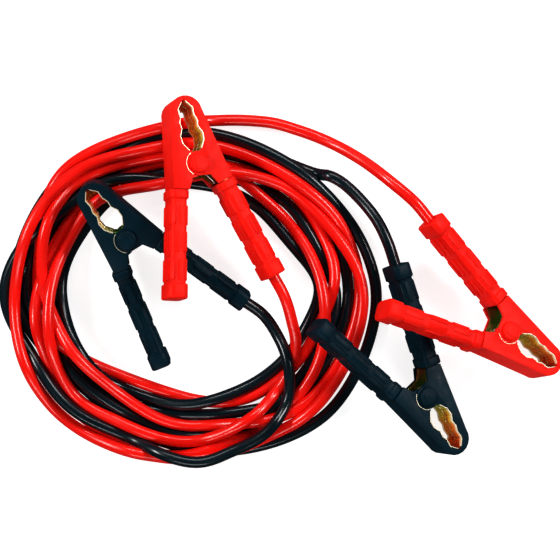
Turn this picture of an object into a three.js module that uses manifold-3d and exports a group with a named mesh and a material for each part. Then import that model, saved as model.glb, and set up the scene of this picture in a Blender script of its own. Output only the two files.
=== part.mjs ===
// A set of car jumper cables lying loosely coiled on a level floor.
// Each of the two cables, one red and one black, is 5 m long and ends in two spring clamps.
// Millimetres, +Z up, origin on the floor below the middle of the four clamps.
import * as THREE from 'three';
import { mergeVertices } from 'three/addons/utils/BufferGeometryUtils.js';
import Module from 'manifold-3d';

const wasm = await Module();
wasm.setup();

// Cable
const CABLE_DIAMETER = 12;
const CABLE_SIDES = 8;
const TAIL_STEP = 2.4 * CABLE_DIAMETER;

// Loose coil of both cables: the red turns lie below, the black turns above
const COIL_OUTER_RADIUS = 201;
const COIL_INNER_RADIUS = 118;
const COIL_HEIGHT = 34;
const COIL_OVALNESS = 0.925;
const COIL_SIDES = 40;
const COIL_FOOT = 3;
// How the heap rises from either edge: share of the ring's width, then height
const COIL_SLOPE = [[0, CABLE_DIAMETER], [0.14, 0.72 * COIL_HEIGHT], [0.36, COIL_HEIGHT]];

// Gaps
const TOUCH_GAP = 0.3;
const RUNNING_GAP = 0.8;
const SOCKET_GAP = 0.6;
const PIN_GAP = 0.1;

// How far a cutting outline reaches past the pieces it cuts
const CUT_REACH = 60;
const CUT_MARGIN = 10;

// Clamp, in its own plane: pivot at the origin, tip along +Y, thickness along Z.
// A handle's middle line leaves the pivot's level at HANDLE_X and leans outwards.
const TIP_REACH = 70;
const HANDLE_ANGLE = THREE.MathUtils.degToRad(15.5);
const HANDLE_X = 19.4;
const COVER_THICKNESS = 32;
const COVER_WALL = 3.2;
const NOSE_RADIUS = 17;
const SHOULDER_X = 31.7;
const SHOULDER_Y = -19.5;
const HEEL_X = 16;
const HEEL_Y = -24;
const HEEL_INNER_X = 10;
const HEEL_INNER_Y = -13.5;
const EAR_RADIUS = 12.5;
const METAL_THICKNESS = 1.8;
const JAW_WALL = 2.2;
const JAW_WALL_FOOT = 15;
const METAL_LIP = 1.1;
const METAL_INSET = 0.5;
const PIN_RADIUS = 3.7;
const CAP_RADIUS = 10;
const CAP_HEIGHT = 4;
const CAP_BEVEL = 1.8;
const SPRING_RADIUS = 8;
const SPRING_WIRE = 2.4;
const SPRING_END_GAP = 0.4;
const ROUND_SIDES = 24;

// Grip sleeve, measured down the handle from the pivot's level
const GRIP_START = 22.4;
const GRIP_LENGTH = 110;
const GRIP_WIDTH = 18;
const GRIP_THICKNESS = 30;
const GRIP_ROUNDING = 5;
const COLLAR_LENGTH = 9;
const COLLAR_GROWTH = 2;
const BOOT_LENGTH = 15;
const BOOT_GROWTH = 3;
const STRETCH_LAP = 1;
const TONGUE_OUT = 2.5;
const TONGUE_IN = 6.5;
const TONGUE_DEPTH = 34;
const SOCKET_DEPTH = 22;

// Half the opening between the jaws, from the tip down to the pivot: half width, then distance below the tip
const JAW_EDGE = [
  [0, 4], [4, 7.5], [8.6, 13], [8.2, 21], [10.3, 27], [9.4, 33], [12.8, 40], [12.2, 48], [7, 56], [0, 59.5],
];

// How far the pivots of the outer clamps lie beyond the coil's edge
const RED_OUTER_REACH = 121;
const BLACK_OUTER_REACH = 38;

// Where each clamp lies, from the middle of the coil: its pivot, its turn about Z,
// its tilt about its own X and its roll about its own Y in degrees, and which handle holds the cable
const CLAMPS = {
  red_inner: { colour: 'red', pivot: [6, 127, 62.5], turn: 14, tilt: -1, roll: 22, cableSide: 1 },
  black_inner: { colour: 'black', pivot: [-64, 54, 43.5], turn: 38, tilt: 10.7, roll: -3, cableSide: 1 },
  red_outer: {
    colour: 'red', pivot: [COIL_OUTER_RADIUS + RED_OUTER_REACH, -44, 36],
    turn: -125, tilt: -15.4, roll: -20.5, cableSide: -1,
  },
  black_outer: {
    colour: 'black', pivot: [COIL_OUTER_RADIUS + BLACK_OUTER_REACH, -110, 30.9],
    turn: -147, tilt: -10.4, roll: -19.5, cableSide: -1,
  },
};

// The free stretch of each cable from its clamp to the coil, points chosen by hand
const TAILS = {
  red_inner: [[105, -30, 34], [109.5, -58, 24]],
  black_inner: [[90, -46, 20], [101, -73, 27]],
  red_outer: [[207, 111, 50], [178, 135, 30], [144, 155.5, 12], [110, 169, 6.6], [78, 177, 6.3]],
  black_outer: [[193, 73, 35], [176, 95, 28], [158, 112, 24], [145, 119, 24]],
};

const FINISHES = {
  red: new THREE.MeshStandardMaterial({ color: 0xe0160c, roughness: 0.45, metalness: 0 }),
  black: new THREE.MeshStandardMaterial({ color: 0x10262c, roughness: 0.45, metalness: 0 }),
  redCable: new THREE.MeshStandardMaterial({ color: 0xe4190f, roughness: 0.3, metalness: 0 }),
  blackCable: new THREE.MeshStandardMaterial({ color: 0x0b1c22, roughness: 0.3, metalness: 0 }),
  zinc: new THREE.MeshStandardMaterial({ color: 0xc9a850, roughness: 0.35, metalness: 1 }),
  steel: new THREE.MeshStandardMaterial({ color: 0xb8bbc0, roughness: 0.35, metalness: 1 }),
};

// Solids from three.js geometry, and meshes from solids

function signedVolume(points, triangles) {
  const corner = (i) => new THREE.Vector3().fromArray(points, 3 * triangles[i]);
  let sum = 0;
  for (let i = 0; i < triangles.length; i += 3) {
    sum += corner(i).dot(corner(i + 1).cross(corner(i + 2)));
  }
  return sum / 6;
}

function solidOf(geometry) {
  geometry.deleteAttribute('normal');
  geometry.deleteAttribute('uv');
  const merged = mergeVertices(geometry, 1e-4);
  const points = merged.attributes.position.array;
  const kept = [];
  for (let i = 0; i < merged.index.count; i += 3) {
    const [a, b, c] = merged.index.array.slice(i, i + 3);
    if (a !== b && b !== c && c !== a) kept.push(a, b, c);
  }
  if (signedVolume(points, kept) < 0) kept.reverse();
  return new wasm.Manifold(new wasm.Mesh({
    numProp: 3,
    vertProperties: new Float32Array(points),
    triVerts: new Uint32Array(kept),
  }));
}

function meshOf(solid, name, finish) {
  const data = solid.getMesh();
  const geometry = new THREE.BufferGeometry();
  geometry.setAttribute('position', new THREE.BufferAttribute(new Float32Array(data.vertProperties), 3));
  geometry.setIndex(new THREE.BufferAttribute(new Uint32Array(data.triVerts), 1));
  geometry.computeVertexNormals();
  const mesh = new THREE.Mesh(geometry, FINISHES[finish]);
  mesh.name = name;
  return mesh;
}

function plate(points, low, high) {
  const shape = new THREE.Shape(points.map(([x, y]) => new THREE.Vector2(x, y)));
  const geometry = new THREE.ExtrudeGeometry(shape, { depth: high - low, bevelEnabled: false });
  return solidOf(geometry.translate(0, 0, low));
}

function disc(radius, halfHeight) {
  const geometry = new THREE.CylinderGeometry(radius, radius, 2 * halfHeight, ROUND_SIDES);
  return solidOf(geometry.rotateX(Math.PI / 2));
}

function turned(profile, sides) {
  const outline = profile[0][0] === 0 ? profile : [...profile, profile[0]];
  const points = outline.map(([radius, height]) => new THREE.Vector2(radius, height));
  return solidOf(new THREE.LatheGeometry(points, sides).rotateX(Math.PI / 2));
}

// Outlines of one clamp half, side 1 for the right half and -1 for the left half

function handlePoint(down, out) {
  return [
    HANDLE_X + down * Math.sin(HANDLE_ANGLE) + out * Math.cos(HANDLE_ANGLE),
    -down * Math.cos(HANDLE_ANGLE) + out * Math.sin(HANDLE_ANGLE),
  ];
}

function noseArc(inset) {
  const radius = NOSE_RADIUS - inset;
  return [90, 72, 54, 36, 18, 0].map((degrees) => {
    const angle = THREE.MathUtils.degToRad(degrees);
    return [radius * Math.cos(angle), TIP_REACH - NOSE_RADIUS + radius * Math.sin(angle)];
  });
}

function jawEdge(lip) {
  return JAW_EDGE.map(([x, below]) => [Math.max(x - lip, TOUCH_GAP / 2), TIP_REACH - below]).reverse();
}

function sideways(points, side) {
  return points.map(([x, y]) => [x * side, y]);
}

function coverOutline() {
  return [
    ...noseArc(0),
    [SHOULDER_X, SHOULDER_Y],
    [HEEL_X, HEEL_Y],
    [HEEL_INNER_X, HEEL_INNER_Y],
    [TOUCH_GAP / 2, -EAR_RADIUS],
    ...jawEdge(0),
  ].map(([x, y]) => [Math.max(x, TOUCH_GAP / 2), y]);
}

// Everything on the pivot's side of the outer wall, inset from the cover's outline
function hollowOutline(inset, tongueOut) {
  const slope = (SHOULDER_X - NOSE_RADIUS) / (TIP_REACH - NOSE_RADIUS - SHOULDER_Y);
  const wallX = (y) => NOSE_RADIUS - inset + slope * (TIP_REACH - NOSE_RADIUS - y);
  const far = GRIP_START + TONGUE_DEPTH + CUT_MARGIN;
  return [
    [-CUT_REACH, TIP_REACH - inset],
    ...noseArc(inset),
    [wallX(SHOULDER_Y), SHOULDER_Y],
    handlePoint(GRIP_START, tongueOut),
    handlePoint(far, tongueOut),
    [-CUT_REACH, handlePoint(far, tongueOut)[1]],
  ];
}

function metalOutline(inset) {
  const hollow = hollowOutline(inset, TONGUE_OUT);
  return [
    ...noseArc(inset),
    hollow[7],
    handlePoint(GRIP_START, TONGUE_OUT),
    handlePoint(GRIP_START + TONGUE_DEPTH, TONGUE_OUT),
    handlePoint(GRIP_START + TONGUE_DEPTH, -TONGUE_IN),
    handlePoint(GRIP_START, -TONGUE_IN),
    [HEEL_INNER_X, HEEL_INNER_Y + METAL_INSET],
    [TOUCH_GAP / 2, -EAR_RADIUS + 2 * METAL_INSET],
    ...jawEdge(METAL_LIP),
  ].map(([x, y]) => [Math.max(x, TOUCH_GAP / 2), y]);
}

// The room inside a jaw, between its outer wall and the scalloped wall that grips; it is open at the pivot
function jawRoomOutline(inset, tongueOut) {
  const [, tipTop, tipSide, ...nose] = noseArc(inset);
  const [shoulder, ...handle] = hollowOutline(inset, tongueOut).slice(7);
  const scallops = jawEdge(METAL_LIP - JAW_WALL).filter(([, y]) => y < tipTop[1] - JAW_WALL && y > JAW_WALL_FOOT);
  const foot = [[-CUT_REACH, JAW_WALL_FOOT], [scallops[0][0], JAW_WALL_FOOT]];
  return [...foot, ...scallops, tipSide, ...nose, shoulder, ...handle];
}

// The pieces of a clamp

function jawMetal(side, halfWidth) {
  const inset = COVER_WALL + TOUCH_GAP;
  const body = plate(sideways(metalOutline(inset), side), -halfWidth, halfWidth);
  const ear = disc(EAR_RADIUS - METAL_INSET, halfWidth);
  const inside = halfWidth - METAL_THICKNESS;
  const room = jawRoomOutline(inset + METAL_THICKNESS, TONGUE_OUT - METAL_THICKNESS);
  return body.add(ear)
    .subtract(plate(sideways(room, side), -inside, inside))
    .subtract(disc(PIN_RADIUS + PIN_GAP, COVER_THICKNESS));
}

function cover(side, metalHalfWidth, hasEar) {
  const half = COVER_THICKNESS / 2;
  const body = plate(sideways(coverOutline(), side), -half, half);
  const pocket = metalHalfWidth + TOUCH_GAP;
  const hollow = plate(sideways(hollowOutline(COVER_WALL, TONGUE_OUT + CUT_MARGIN), side), -pocket, pocket);
  if (hasEar) {
    return body.add(disc(EAR_RADIUS, half)).subtract(hollow).subtract(disc(PIN_RADIUS + PIN_GAP, COVER_THICKNESS));
  }
  return body.subtract(hollow).subtract(disc(EAR_RADIUS + RUNNING_GAP, COVER_THICKNESS));
}

function roundedSection(width, thickness, rounding) {
  const points = [];
  for (const [sx, sy, from] of [[1, 1, 0], [-1, 1, 90], [-1, -1, 180], [1, -1, 270]]) {
    for (const turn of [0, 45, 90]) {
      const angle = THREE.MathUtils.degToRad(from + turn);
      points.push([
        sx * (width / 2 - rounding) + rounding * Math.cos(angle),
        sy * (thickness / 2 - rounding) + rounding * Math.sin(angle),
      ]);
    }
  }
  return points;
}

// A stretch of the sleeve, from one distance below its top to another, along -Y
function sleeve(growth, from, to) {
  const section = roundedSection(GRIP_WIDTH + growth, GRIP_THICKNESS + growth, GRIP_ROUNDING + growth / 2);
  const shape = new THREE.Shape(section.map(([x, y]) => new THREE.Vector2(x, y)));
  const geometry = new THREE.ExtrudeGeometry(shape, { depth: to - from, bevelEnabled: false });
  return solidOf(geometry.rotateX(Math.PI / 2).translate(0, -from, 0));
}

function grip(side, metalHalfWidth, holdsCable) {
  const [top, end] = [TOUCH_GAP, GRIP_LENGTH];
  const outside = sleeve(COLLAR_GROWTH, top, COLLAR_LENGTH)
    .add(sleeve(0, COLLAR_LENGTH - STRETCH_LAP, end - STRETCH_LAP))
    .add(sleeve(BOOT_GROWTH, end - BOOT_LENGTH, end));
  const room = TOUCH_GAP;
  const tongue = [
    [TONGUE_OUT + room, CUT_MARGIN], [TONGUE_OUT + room, -TONGUE_DEPTH - room],
    [-TONGUE_IN - room, -TONGUE_DEPTH - room], [-TONGUE_IN - room, CUT_MARGIN],
  ];
  const bore = CABLE_DIAMETER / 2 + SOCKET_GAP;
  const socket = new THREE.CylinderGeometry(bore, bore, 2 * SOCKET_DEPTH, ROUND_SIDES);
  let solid = outside.subtract(plate(sideways(tongue, side), -metalHalfWidth - room, metalHalfWidth + room));
  if (holdsCable) solid = solid.subtract(solidOf(socket.translate(0, -end, 0)));
  const [x, y] = handlePoint(GRIP_START, 0);
  return solid.rotate([0, 0, side * THREE.MathUtils.radToDeg(HANDLE_ANGLE)]).translate([side * x, y, 0]);
}

function cap(side) {
  const seat = COVER_THICKNESS / 2 + TOUCH_GAP;
  const top = seat + CAP_HEIGHT;
  const profile = [[0, seat], [CAP_RADIUS, seat], [CAP_RADIUS, top - CAP_BEVEL], [CAP_RADIUS - CAP_BEVEL, top], [0, top]];
  return turned(profile.map(([r, z]) => [r, side * z]), ROUND_SIDES);
}

function spring(metalHalfWidth) {
  const half = metalHalfWidth - METAL_THICKNESS - SPRING_END_GAP;
  const bore = SPRING_RADIUS - SPRING_WIRE;
  return turned([[bore, -half], [SPRING_RADIUS, -half], [SPRING_RADIUS, half], [bore, half]], ROUND_SIDES);
}

function clamp(name, { colour, pivot, turn, tilt, roll, cableSide }) {
  const outerMetal = COVER_THICKNESS / 2 - COVER_WALL - TOUCH_GAP;
  const innerMetal = outerMetal - METAL_THICKNESS - TOUCH_GAP;
  const group = new THREE.Group();
  group.add(
    meshOf(cover(cableSide, outerMetal, true), `${name}_cable_cover`, colour),
    meshOf(grip(cableSide, outerMetal, true), `${name}_cable_grip`, colour),
    meshOf(jawMetal(cableSide, outerMetal), `${name}_cable_jaw`, 'zinc'),
    meshOf(cover(-cableSide, innerMetal, false), `${name}_free_cover`, colour),
    meshOf(grip(-cableSide, innerMetal, false), `${name}_free_grip`, colour),
    meshOf(jawMetal(-cableSide, innerMetal), `${name}_free_jaw`, 'zinc'),
    meshOf(disc(PIN_RADIUS, COVER_THICKNESS / 2), `${name}_pin`, 'steel'),
    meshOf(cap(1), `${name}_top_cap`, colour),
    meshOf(cap(-1), `${name}_bottom_cap`, colour),
    meshOf(spring(innerMetal), `${name}_spring`, 'steel'),
  );
  group.position.set(...pivot);
  const [x, y, z] = [tilt, roll, turn].map(THREE.MathUtils.degToRad);
  group.rotation.set(x, y, z, 'ZXY');
  group.updateMatrixWorld();
  return group;
}

// The cables

// The heap of turns is one turn high at its edges and highest in the middle of its width
function heapOutline(grown) {
  const width = COIL_OUTER_RADIUS - COIL_INNER_RADIUS;
  const inner = COIL_SLOPE.map(([share, z]) => [COIL_INNER_RADIUS - grown + share * width, z + grown]);
  const outer = COIL_SLOPE.map(([share, z]) => [COIL_OUTER_RADIUS + grown - share * width, z + grown]);
  return { inner, outer };
}

function lowerRing(grown) {
  const { inner, outer } = heapOutline(grown);
  const split = COIL_HEIGHT / 2 - TOUCH_GAP / 2 + grown;
  const blend = (a, b) => a[0] + (b[0] - a[0]) * (split - a[1]) / (b[1] - a[1]);
  return turned([
    [inner[0][0] + COIL_FOOT, -grown], [outer[0][0] - COIL_FOOT, -grown],
    [outer[0][0], COIL_FOOT - grown], outer[0],
    [blend(outer[0], outer[1]), split], [blend(inner[0], inner[1]), split],
    inner[0], [inner[0][0], COIL_FOOT - grown],
  ], COIL_SIDES).scale([1, COIL_OVALNESS, 1]);
}

function upperRing(grown) {
  const { inner, outer } = heapOutline(grown);
  const split = COIL_HEIGHT / 2 + TOUCH_GAP / 2 - grown;
  const blend = (a, b) => a[0] + (b[0] - a[0]) * (split - a[1]) / (b[1] - a[1]);
  return turned([
    [blend(inner[0], inner[1]), split], [blend(outer[0], outer[1]), split], outer[1], outer[2], inner[2], inner[1],
  ], COIL_SIDES).scale([1, COIL_OVALNESS, 1]);
}

// From inside the clamp's socket, out of its mouth and along the floor to the coil
function tail(name, clampGroup, { cableSide }) {
  const leave = [SOCKET_DEPTH - TOUCH_GAP, 0, -2 * CABLE_DIAMETER].map((inside) => {
    const [x, y] = handlePoint(GRIP_START + GRIP_LENGTH - inside, 0);
    return new THREE.Vector3(cableSide * x, y, 0).applyMatrix4(clampGroup.matrixWorld);
  });
  const curve = new THREE.CatmullRomCurve3(
    [...leave, ...TAILS[name].map((p) => new THREE.Vector3(...p))], false, 'centripetal');
  const section = new THREE.Shape();
  for (let i = 0; i < CABLE_SIDES; i += 1) {
    const angle = (2 * Math.PI * i) / CABLE_SIDES;
    const [x, y] = [CABLE_DIAMETER / 2 * Math.cos(angle), CABLE_DIAMETER / 2 * Math.sin(angle)];
    if (i === 0) section.moveTo(x, y);
    else section.lineTo(x, y);
  }
  const steps = Math.ceil(curve.getLength() / TAIL_STEP);
  return solidOf(new THREE.ExtrudeGeometry(section, { steps, extrudePath: curve, bevelEnabled: false }))
    .subtract(lowerRing(TOUCH_GAP))
    .subtract(upperRing(TOUCH_GAP));
}

const layout = new THREE.Group();
const clamps = new THREE.Group();
layout.add(clamps);
for (const [name, facts] of Object.entries(CLAMPS)) {
  const group = clamp(name, facts);
  clamps.add(group);
  layout.add(meshOf(tail(name, group, facts), `${name}_cable_tail`, `${facts.colour}Cable`));
}
layout.add(
  meshOf(lowerRing(0), 'red_cable_coil', 'redCable'),
  meshOf(upperRing(0), 'black_cable_coil', 'blackCable'),
);

const middle = new THREE.Box3().setFromObject(clamps, true).getCenter(new THREE.Vector3());
layout.position.set(-middle.x, -middle.y, 0);

export default layout;
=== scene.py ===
# %% [markdown]
# # A set of car jumper cables
#
# Two cables, one red and one black, lie in a loose coil, and each ends in two spring clamps. The CAD model
# is the frame: it fixes where everything is and what turns. Here each plain solid gets its real surface.
# Lengths are metres.

# %% Tools
import math

import bmesh
import bpy
import numpy as np
from mathutils import Matrix, Vector
from mathutils.bvhtree import BVHTree


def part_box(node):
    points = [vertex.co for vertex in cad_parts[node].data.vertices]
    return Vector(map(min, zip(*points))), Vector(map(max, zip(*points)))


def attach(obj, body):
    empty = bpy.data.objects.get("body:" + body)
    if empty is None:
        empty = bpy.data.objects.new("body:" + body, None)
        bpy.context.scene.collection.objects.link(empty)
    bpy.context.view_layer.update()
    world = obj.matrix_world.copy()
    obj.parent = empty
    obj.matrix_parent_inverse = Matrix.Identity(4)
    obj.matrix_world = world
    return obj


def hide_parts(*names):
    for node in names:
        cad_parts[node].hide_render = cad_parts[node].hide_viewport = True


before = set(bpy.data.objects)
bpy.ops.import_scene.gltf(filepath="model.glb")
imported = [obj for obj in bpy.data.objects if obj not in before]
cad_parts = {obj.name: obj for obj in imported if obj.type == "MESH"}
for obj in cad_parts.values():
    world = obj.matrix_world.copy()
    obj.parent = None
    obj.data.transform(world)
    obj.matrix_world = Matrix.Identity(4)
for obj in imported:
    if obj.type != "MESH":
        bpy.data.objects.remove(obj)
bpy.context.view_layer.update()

# %% [markdown]
# ## Driving sizes
#
# The sizes of a clamp are written in its own plane: the pivot is the origin, the tip lies along +Y, and the
# thickness runs along Z. Everything else is worked out from these values, so a change here moves every
# piece.

# %% Sizes
MM = 0.001

CABLE_DIAMETER = 12 * MM
CABLE_STEP = 5 * MM
CABLE_SIDES = 16

TIP_REACH = 70 * MM
HANDLE_ANGLE = math.radians(15.5)
HANDLE_X = 19.4 * MM
EAR_RADIUS = 12.5 * MM
RUNNING_GAP = 0.8 * MM
COVER_THICKNESS = 32 * MM
COVER_WALL = 3.2 * MM
METAL_THICKNESS = 1.8 * MM
METAL_LIP = 1.1 * MM
TOUCH_GAP = 0.3 * MM

GRIP_START = 22.4 * MM
GRIP_LENGTH = 110 * MM
GRIP_WIDTH = 18 * MM
GRIP_THICKNESS = 30 * MM
GRIP_ROUNDING = 5 * MM
SOCKET_DEPTH = 22 * MM
SOCKET_GAP = 0.6 * MM

CAP_HEIGHT = 4 * MM
SPRING_RADIUS = 6.8 * MM
SPRING_WIRE = 2.4 * MM
SPRING_TURNS = 6

OUTER_METAL = COVER_THICKNESS / 2 - COVER_WALL - TOUCH_GAP
INNER_METAL = OUTER_METAL - METAL_THICKNESS - TOUCH_GAP

# Half the opening between the jaws in millimetres, from the tip down: half width, then distance below the tip
JAW_EDGE = [(0, 4), (4, 7.5), (8.6, 13), (8.2, 21), (10.3, 27), (9.4, 33), (12.8, 40), (12.2, 48), (7, 56),
            (0, 59.5)]

# Where each clamp lies, from the middle of the coil: pivot, then turn, tilt and roll in degrees, then the side
# of the handle that holds the cable
CLAMPS = {
    "red_inner": ((0.006, 0.127, 0.0625), (14, -1, 22), 1),
    "black_inner": ((-0.064, 0.054, 0.0435), (38, 10.7, -3), 1),
    "red_outer": ((0.322, -0.044, 0.036), (-125, -15.4, -20.5), -1),
    "black_outer": ((0.239, -0.110, 0.0309), (-147, -10.4, -19.5), -1),
}

# The free stretch of each cable from its clamp to the coil, as listed points
TAILS = {
    "red_inner": [(0.105, -0.030, 0.034), (0.1095, -0.058, 0.024)],
    "black_inner": [(0.090, -0.046, 0.020), (0.101, -0.073, 0.027)],
    "red_outer": [(0.207, 0.111, 0.050), (0.178, 0.135, 0.030), (0.144, 0.1555, 0.012), (0.110, 0.169, 0.0066),
                  (0.078, 0.177, 0.0063)],
    "black_outer": [(0.193, 0.073, 0.035), (0.176, 0.095, 0.028), (0.158, 0.112, 0.024), (0.145, 0.119, 0.024)],
}

# Distance of each cable from the middle of the coil in millimetres, one value for each eighth of a turn from its
# outer clamp inwards, read off the photo, and the angle where it starts
TURNS = {
    "red": (90, [189, 188, 168, 137, 133, 147, 155, 153, 154, 157, 162, 182, 190, 170, 137, 132, 156, 180, 154,
                 135, 156, 174, 176, 174, 166, 178, 184, 197, 189, 184, 179, 158, 132, 142, 146, 171, 174]),
    "black": (45, [187, 175, 186, 184, 159, 181, 200, 194, 176, 179, 179, 179, 152, 145, 166, 167, 172, 164, 170,
                   160, 154, 167, 159, 156, 146, 142, 143, 141, 137, 133, 133, 140, 124, 125, 158, 194, 182, 191]),
}
TURN_STEP = math.radians(45)
TURN_HEIGHT = 0.012
COIL_OVALNESS = 0.9215

# Where each cable leaves the coil again on its way to the inner clamp, from the middle of the coil
ENTRIES = {
    "red": [(0.0683, -0.1323, 0.012), (0.0966, -0.0956, 0.016)],
    "black": [(0.042, -0.1664, 0.012), (0.0788, -0.147, 0.016), (0.1013, -0.1134, 0.022)],
}

coil_low, coil_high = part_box("red_cable_coil")
COIL_MIDDLE = Vector(((coil_low.x + coil_high.x) / 2, (coil_low.y + coil_high.y) / 2, 0))
ROOT = "cables_and_cable_halves"

# %% [markdown]
# ## Small helpers
#
# A node tree reads best when one line adds one node, so `node` takes the inputs along, either as plain
# values or as sockets to link from. `mesh_object` turns points and faces into an object, and `baked` turns
# whatever an object shows, modifiers included, into its plain mesh.

# %% Helpers


def node(tree, kind, inputs=None, **settings):
    """A new node. Each input is a value, or another node's output socket to link from."""
    made = tree.nodes.new(kind)
    for key, value in settings.items():
        setattr(made, key, value)
    for key, value in (inputs or {}).items():
        socket = made.inputs[key]
        if isinstance(value, bpy.types.NodeSocket):
            tree.links.new(value, socket)
        else:
            socket.default_value = value
    return made


def mesh_object(name, points, faces, material):
    mesh = bpy.data.meshes.new(name)
    mesh.from_pydata([tuple(p) for p in points], [], faces)
    mesh.materials.append(material)
    made = bpy.data.objects.new(name, mesh)
    bpy.context.scene.collection.objects.link(made)
    return made


def merged(shapes):
    """Several pairs of points and faces as one pair."""
    points, faces = [], []
    for more_points, more_faces in shapes:
        faces += [[len(points) + k for k in face] for face in more_faces]
        points += [Vector(point) for point in more_points]
    return points, faces


def tidy_faces(mesh, weld=1e-6, flat_angle=None):
    """Welds double points, can merge flat neighbours, and turns all faces outwards."""
    work = bmesh.new()
    work.from_mesh(mesh)
    bmesh.ops.remove_doubles(work, verts=work.verts, dist=weld)
    if flat_angle is not None:
        bmesh.ops.dissolve_limit(work, angle_limit=flat_angle, verts=work.verts, edges=work.edges)
    bmesh.ops.recalc_face_normals(work, faces=work.faces)
    work.to_mesh(mesh)
    work.free()


def smooth(mesh, angle=35):
    """Shades the mesh smooth, but keeps edges sharper than the angle in degrees."""
    mesh.shade_smooth()
    mesh.set_sharp_from_angle(angle=math.radians(angle))


def baked(made):
    """The object's own mesh becomes what its modifiers show."""
    shown = made.evaluated_get(bpy.context.evaluated_depsgraph_get())
    mesh = bpy.data.meshes.new_from_object(shown)
    made.modifiers.clear()
    made.data = mesh
    mesh.name = made.name
    return made


def placed_on(made, body, slot, *cad_nodes):
    """Lets a finished piece ride on a body and hides the CAD nodes that it stands for. The slot is not used."""
    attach(made, body)
    if cad_nodes:
        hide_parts(*cad_nodes)


def clamp_matrix(name):
    pivot, angles, _ = CLAMPS[name]
    turn, tilt, roll = [math.radians(angle) for angle in angles]
    place = Matrix.Translation(COIL_MIDDLE + Vector(pivot))
    turned = Matrix.Rotation(turn, 4, "Z") @ Matrix.Rotation(tilt, 4, "X") @ Matrix.Rotation(roll, 4, "Y")
    return place @ turned


def handle_point(side, down, out, height=0.0):
    """A point of a handle in the clamp's own frame: down from the pivot's level, out from its middle line."""
    x = HANDLE_X + down * math.sin(HANDLE_ANGLE) + out * math.cos(HANDLE_ANGLE)
    y = -down * math.cos(HANDLE_ANGLE) + out * math.sin(HANDLE_ANGLE)
    return Vector((side * x, y, height))


def halves(name):
    """The two halves of a clamp: label, side, body and half width of the metal."""
    side = CLAMPS[name][2]
    return [("cable", side, ROOT, OUTER_METAL), ("free", -side, name + "_free_half", INNER_METAL)]


# %% [markdown]
# ## Materials
#
# Every pattern reads Object coordinates, the cable's own UV map or an attribute, because these stay with
# the piece when it moves. Real moulded plastic is never even: its gloss and its colour drift a little, and
# a fine grain breaks the light. The plated jaws have a thin film that shifts from green over gold to copper
# along the jaw.

# %% Materials


def new_material(name, **values):
    material = bpy.data.materials.new(name)
    material.use_nodes = True
    shader = material.node_tree.nodes["Principled BSDF"]
    for key, value in values.items():
        shader.inputs[key.replace("_", " ")].default_value = value
    return material, material.node_tree, shader


def colour_ramp(tree, factor, stops):
    ramp = node(tree, "ShaderNodeValToRGB", {"Fac": factor})
    elements = ramp.color_ramp.elements
    while len(elements) < len(stops):
        elements.new(0.5)
    for element, (position, colour) in zip(elements, stops):
        element.position = position
        element.color = (*colour, 1)
    return ramp.outputs["Color"]


def moulded_plastic(name, dark, light, rough_low, rough_high):
    material, tree, shader = new_material(name, IOR=1.46, Specular_IOR_Level=0.14)
    place = node(tree, "ShaderNodeTexCoord").outputs["Object"]
    drift = node(tree, "ShaderNodeTexNoise", {"Vector": place, "Scale": 38.0, "Detail": 3.0})
    mixed = colour_ramp(tree, drift.outputs["Fac"], [(0.3, dark), (0.7, light)])
    tree.links.new(mixed, shader.inputs["Base Color"])
    wear = node(tree, "ShaderNodeTexNoise", {"Vector": place, "Scale": 120.0, "Detail": 4.0, "Roughness": 0.6})
    gloss = node(tree, "ShaderNodeMapRange", {"Value": wear.outputs["Fac"], "From Min": 0.3, "From Max": 0.7,
                                              "To Min": rough_low, "To Max": rough_high})
    tree.links.new(gloss.outputs["Result"], shader.inputs["Roughness"])
    grain = node(tree, "ShaderNodeTexNoise", {"Vector": place, "Scale": 1400.0, "Detail": 2.0})
    bump = node(tree, "ShaderNodeBump", {"Height": grain.outputs["Fac"], "Strength": 0.12, "Distance": 0.2 * MM})
    tree.links.new(bump.outputs["Normal"], shader.inputs["Normal"])
    return material


def soft_sheath(name, dark, light):
    """Glossy soft cable sheath. U of its map is the length along the cable, V the share round it."""
    material, tree, shader = new_material(name, IOR=1.5, Coat_Weight=0.2, Coat_Roughness=0.12)
    chart = node(tree, "ShaderNodeUVMap", uv_map="along").outputs["UV"]
    stretched = node(tree, "ShaderNodeMapping", {"Vector": chart, "Scale": (14.0, 2.0, 1.0)})
    drift = node(tree, "ShaderNodeTexNoise", {"Vector": stretched.outputs["Vector"], "Scale": 1.0, "Detail": 3.0})
    mixed = colour_ramp(tree, drift.outputs["Fac"], [(0.3, dark), (0.7, light)])
    tree.links.new(mixed, shader.inputs["Base Color"])
    gloss = node(tree, "ShaderNodeMapRange", {"Value": drift.outputs["Fac"], "From Min": 0.25, "From Max": 0.75,
                                              "To Min": 0.2, "To Max": 0.34})
    tree.links.new(gloss.outputs["Result"], shader.inputs["Roughness"])
    return material


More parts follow.
